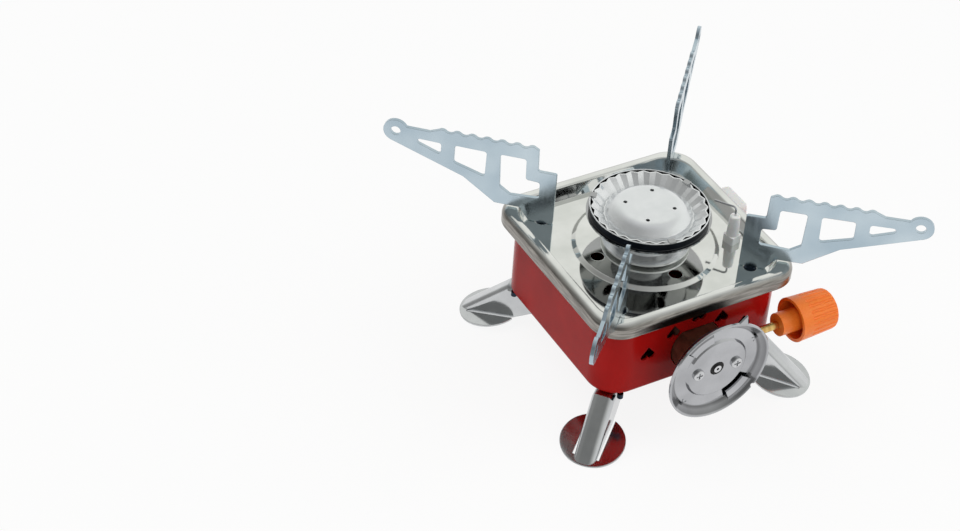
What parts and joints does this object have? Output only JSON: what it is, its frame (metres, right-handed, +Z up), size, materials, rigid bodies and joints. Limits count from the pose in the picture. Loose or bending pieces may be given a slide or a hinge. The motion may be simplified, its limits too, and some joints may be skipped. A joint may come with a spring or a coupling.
{
  "type": "folding gas stove",
  "caption": "Square folding gas stove with a round burner, swing-out pan supports, swivel legs, a cartridge plate, a valve knob and a push-button igniter.",
  "frame": {"origin": "on the table, under the burner's axis", "axes": "+Z up, -Y towards the cartridge plate, +X towards the control knob"},
  "size_m": [0.1668, 0.1646, 0.0949],
  "materials": {
    "red_enamel": "glossy baked enamel",
    "polished_steel": "polished stainless sheet",
    "zinc_steel": "bluish zinc plating",
    "plated_steel": "bright plated steel",
    "plate_steel": "satin plated pressing",
    "burner_steel": "bright neck, heat-darkened band",
    "burner_aluminium": "satin",
    "brass": "bright turned brass",
    "valve_bronze": "brown chromated casting",
    "orange_plastic": "satin moulded plastic",
    "white_plastic": "satin moulded plastic",
    "ceramic": "glazed white ceramic",
    "black_plastic": "moulded plastic",
    "black_rubber": "soft rubber"
  },
  "bodies": {
    "stove_body": {"body_shell": "red_enamel", "top_tray": "polished_steel", "pivot_bushes": "plated_steel", "leg_rivets": "plated_steel", "leg_stops": "plated_steel", "valve_bracket": "plated_steel", "valve_nut": "plated_steel", "bracket_rivets": "plated_steel", "plate_screws": "plated_steel", "burner_nut": "plated_steel", "igniter_clip": "plated_steel", "igniter_spring": "plated_steel", "electrode_clip": "plated_steel", "electrode_wire": "plated_steel", "gland_nut": "plated_steel", "inlet_nozzle": "plated_steel", "mixing_tube": "plated_steel", "cartridge_plate": "plate_steel", "burner_cup": "burner_steel", "flame_ring": "burner_aluminium", "burner_cap": "burner_aluminium", "burner_collar": "burner_aluminium", "gas_jet": "brass", "valve_body": "valve_bronze", "electrode_insulator": "ceramic", "igniter_body": "black_plastic", "stem_seal": "black_rubber", "inlet_seal": "black_rubber", "ignition_lead": "black_rubber"},
    "front_support": {"pan_support_front": "zinc_steel", "support_stud_front": "plated_steel", "support_clip_front": "plated_steel"},
    "right_support": {"pan_support_right": "zinc_steel", "support_stud_right": "plated_steel", "support_clip_right": "plated_steel"},
    "back_support": {"pan_support_back": "zinc_steel", "support_stud_back": "plated_steel", "support_clip_back": "plated_steel"},
    "left_support": {"pan_support_left": "zinc_steel", "support_stud_left": "plated_steel", "support_clip_left": "plated_steel"},
    "front_leg": {"leg_front": "polished_steel"},
    "right_leg": {"leg_right": "polished_steel"},
    "back_leg": {"leg_back": "polished_steel"},
    "left_leg": {"leg_left": "polished_steel"},
    "knob": {"control_knob": "orange_plastic", "valve_stem": "brass"},
    "button": {"igniter_button": "white_plastic"}
  },
  "joints": [
    {"name": "front_support_swing", "type": "hinge", "parent": "stove_body", "child": "front_support", "pos_m": [-0.031, -0.031, 0.057], "axis": [0, 0, 1], "range_deg": [-127.4, 0]},
    {"name": "right_support_swing", "type": "hinge", "parent": "stove_body", "child": "right_support", "pos_m": [0.031, -0.031, 0.057], "axis": [0, 0, 1], "range_deg": [-131, 0]},
    {"name": "back_support_swing", "type": "hinge", "parent": "stove_body", "child": "back_support", "pos_m": [0.031, 0.031, 0.057], "axis": [0, 0, 1], "range_deg": [-129.2, 0]},
    {"name": "left_support_swing", "type": "hinge", "parent": "stove_body", "child": "left_support", "pos_m": [-0.031, 0.031, 0.057], "axis": [0, 0, 1], "range_deg": [-128.4, 0]},
    {"name": "front_leg_swing", "type": "hinge", "parent": "stove_body", "child": "front_leg", "pos_m": [-0.031, -0.031, 0.0202], "axis": [0, 0, 1], "range_deg": [-175.6, 0]},
    {"name": "right_leg_swing", "type": "hinge", "parent": "stove_body", "child": "right_leg", "pos_m": [0.031, -0.031, 0.0202], "axis": [0, 0, 1], "range_deg": [-184.8, 0]},
    {"name": "back_leg_swing", "type": "hinge", "parent": "stove_body", "child": "back_leg", "pos_m": [0.031, 0.031, 0.0202], "axis": [0, 0, 1], "range_deg": [-180, 0]},
    {"name": "left_leg_swing", "type": "hinge", "parent": "stove_body", "child": "left_leg", "pos_m": [-0.031, 0.031, 0.0202], "axis": [0, 0, 1], "range_deg": [-174.5, 0]},
    {"name": "knob_turn", "type": "hinge", "parent": "stove_body", "child": "knob", "pos_m": [0.0419, -0.049, 0.0385], "axis": [1, 0, 0], "range_deg": [0, 540]},
    {"name": "igniter_press", "type": "slide", "parent": "stove_body", "child": "button", "axis": [-1, 0, 0], "range_m": [0, 0.005], "stiffness_N_per_m": 1500, "springref_m": -0.002, "deforming": ["igniter_spring"]}
  ]
}
